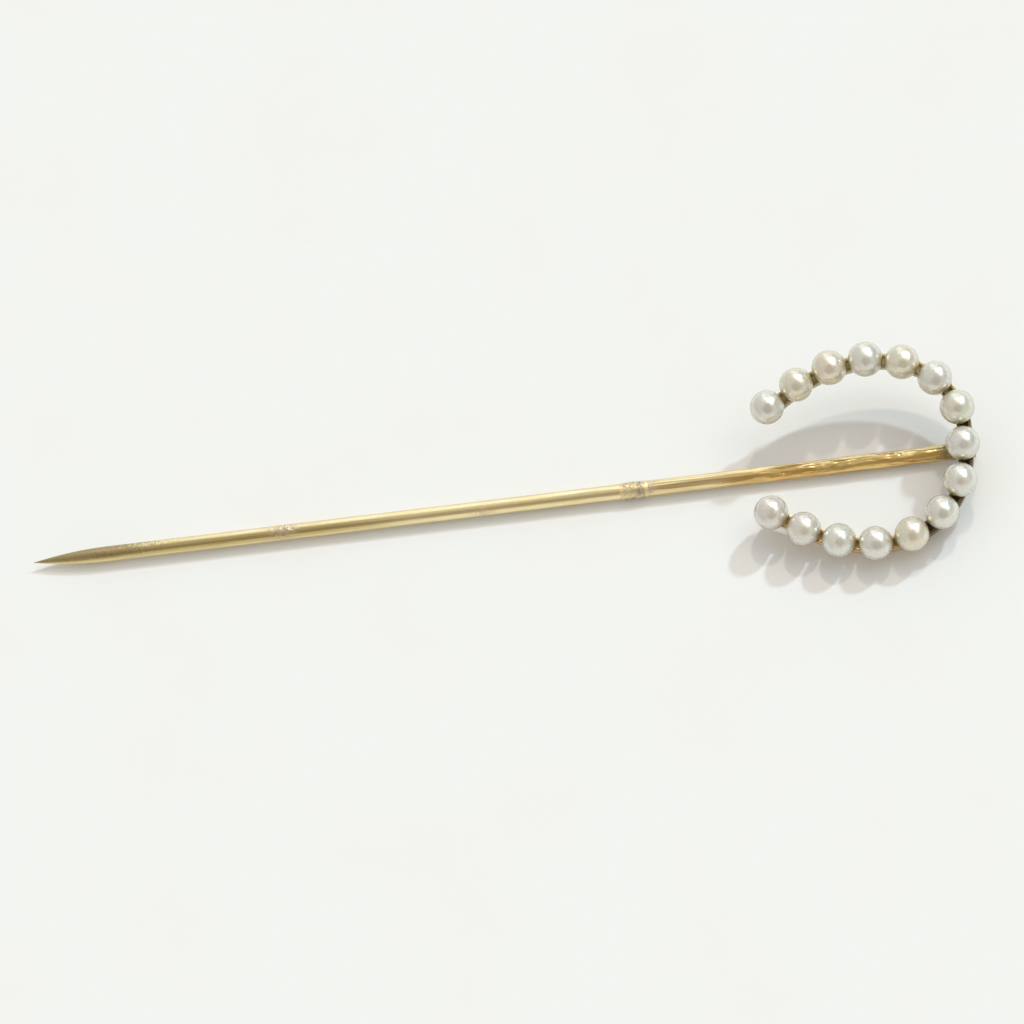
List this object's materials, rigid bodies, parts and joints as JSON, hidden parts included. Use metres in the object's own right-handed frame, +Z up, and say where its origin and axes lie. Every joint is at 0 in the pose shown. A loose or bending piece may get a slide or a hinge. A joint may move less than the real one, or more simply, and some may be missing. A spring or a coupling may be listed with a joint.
{
  "type": "hat pin",
  "caption": "Short gold stick pin for a hat, scarf or lapel: an open horseshoe of drilled pearls pegged into cups on a channelled gallery, across the head of a round pointed pin",
  "frame": {"origin": "on the table, below the middle of the whole pin", "axes": "+X along the pin from its point to its head, +Y across towards the raised arm of the horseshoe, +Z up from the table the pin lies on"},
  "size_m": [0.0644, 0.014, 0.0059],
  "materials": {
    "pin_gold": "bright yellow gold wire, drawn lengthwise, with fine scratches and small dull deposits",
    "head_gold": "satin yellow gold, darkened brown in the recesses",
    "cup_gold": "satin yellow gold with old cement and tarnish",
    "repair_solder": "dull pinkish grey solder, pitted",
    "pearl": "satin nacre, cream to silver"
  },
  "bodies": {
    "root": {"gallery": "head_gold", "pearl_01": "pearl", "pearl_02": "pearl", "pearl_03": "pearl", "pearl_04": "pearl", "pearl_05": "pearl", "pearl_06": "pearl", "pearl_07": "pearl", "pearl_08": "pearl", "pearl_09": "pearl", "pearl_10": "pearl", "pearl_11": "pearl", "pearl_12": "pearl", "pearl_13": "pearl", "pearl_14": "pearl", "pearl_15": "pearl", "cup_01": "cup_gold", "cup_02": "cup_gold", "cup_03": "cup_gold", "cup_04": "cup_gold", "cup_05": "cup_gold", "cup_06": "cup_gold", "cup_07": "cup_gold", "cup_08": "cup_gold", "cup_09": "cup_gold", "cup_10": "cup_gold", "cup_11": "cup_gold", "cup_12": "cup_gold", "cup_13": "cup_gold", "cup_14": "cup_gold", "cup_15": "cup_gold", "peg_01": "cup_gold", "peg_02": "cup_gold", "peg_03": "cup_gold", "peg_04": "cup_gold", "peg_05": "cup_gold", "peg_06": "cup_gold", "peg_07": "cup_gold", "peg_08": "cup_gold", "peg_09": "cup_gold", "peg_10": "cup_gold", "peg_11": "cup_gold", "peg_12": "cup_gold", "peg_13": "cup_gold", "peg_14": "cup_gold", "peg_15": "cup_gold", "pin_point": "pin_gold", "pin_shank": "pin_gold", "solder_sleeve": "repair_solder", "saddle_block": "head_gold"}
  },
  "joints": []
}
